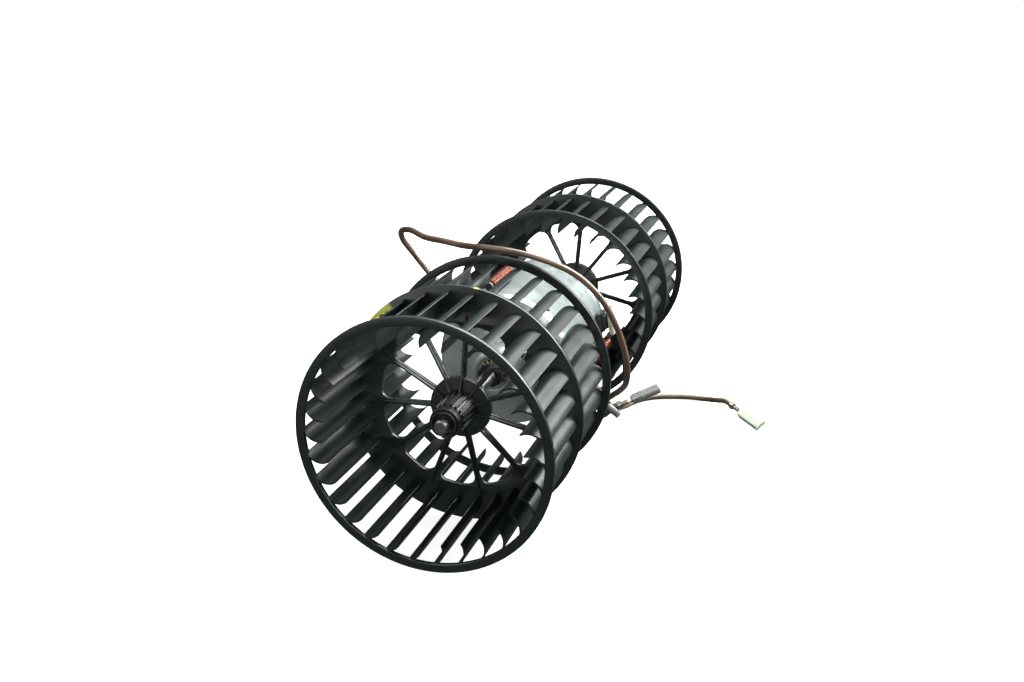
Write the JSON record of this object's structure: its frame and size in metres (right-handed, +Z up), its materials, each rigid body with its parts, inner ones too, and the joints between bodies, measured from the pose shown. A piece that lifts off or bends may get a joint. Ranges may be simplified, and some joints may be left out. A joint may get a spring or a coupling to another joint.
{
  "type": "twin-wheel blower motor",
  "caption": "Heater blower motor with a squirrel-cage wheel on each end of its shaft, suppression chokes, and two brown leads with sleeved flat connectors.",
  "frame": {"origin": "on the shaft axis, midway between the outer rims of the two wheels", "axes": "+Y along the shaft from the front wheel to the rear wheel, +Z up, +X to the right seen from the front wheel"},
  "size_m": [0.2324, 0.351, 0.1455],
  "materials": {
    "black_plastic": "moulded charcoal black, faint grey-green sheen",
    "zinc_steel": "drawn sheet steel, bright zinc plate",
    "bright_steel": "ground steel",
    "dark_steel": "blackened steel",
    "copper": "enamelled copper wire",
    "brass": "stamped brass",
    "ferrite": "sintered ferrite",
    "carbon": "pressed carbon",
    "felt": "oiled felt",
    "brown_pvc": "soft brown cable sheath",
    "clear_pvc": "translucent greenish sleeve",
    "beige_plastic": "translucent beige sleeve"
  },
  "bodies": {
    "motor": {"motor_can": "zinc_steel", "end_plate": "zinc_steel", "magnet_left": "ferrite", "magnet_right": "ferrite", "front_bearing_bush": "brass", "rear_bearing_bush": "brass", "front_oil_felt": "felt", "rear_oil_felt": "felt", "front_star_washer": "brass", "rear_star_washer": "brass", "brush_card": "black_plastic", "brush_box_left": "brass", "brush_box_right": "brass", "brush_spring_left": "bright_steel", "brush_spring_right": "bright_steel", "brush_stop_left": "brass", "brush_stop_right": "brass", "choke_coil_top": "copper", "choke_coil_side": "copper", "choke_core_top": "ferrite", "choke_core_side": "ferrite", "choke_saddle_top": "black_plastic", "choke_saddle_side": "black_plastic", "terminal_block": "black_plastic", "lead_gland_left": "black_plastic", "lead_gland_right": "black_plastic", "long_lead": "brown_pvc", "floor_lead": "brown_pvc", "long_lead_receptacle": "brass", "floor_lead_receptacle": "brass", "long_lead_receptacle_sleeve": "clear_pvc", "floor_lead_receptacle_sleeve": "clear_pvc", "side_receptacle": "beige_plastic"},
    "rotor": {"front_wheel": "black_plastic", "rear_wheel": "black_plastic", "front_hub_clip": "dark_steel", "rear_hub_clip": "dark_steel", "rotor_shaft": "bright_steel", "armature_core": "dark_steel", "armature_winding_front": "copper", "armature_winding_rear": "copper", "commutator": "copper", "front_thrust_washer": "black_plastic", "rear_thrust_washer": "black_plastic"},
    "right_brush": {"brush_right": "carbon"},
    "left_brush": {"brush_left": "carbon"}
  },
  "joints": [
    {"name": "shaft_spin", "type": "hinge", "parent": "motor", "child": "rotor", "pos_m": [0, 0, 0], "axis": [0, 1, 0], "continuous": true},
    {"name": "right_brush_slide", "type": "slide", "parent": "motor", "child": "right_brush", "axis": [1, 0, 0], "range_m": [0, 0.003], "stiffness_N_per_m": 60, "springref_m": -0.004, "deforming": ["brush_spring_right"]},
    {"name": "left_brush_slide", "type": "slide", "parent": "motor", "child": "left_brush", "axis": [-1, 0, 0], "range_m": [0, 0.003], "stiffness_N_per_m": 60, "springref_m": -0.004, "deforming": ["brush_spring_left"]}
  ]
}
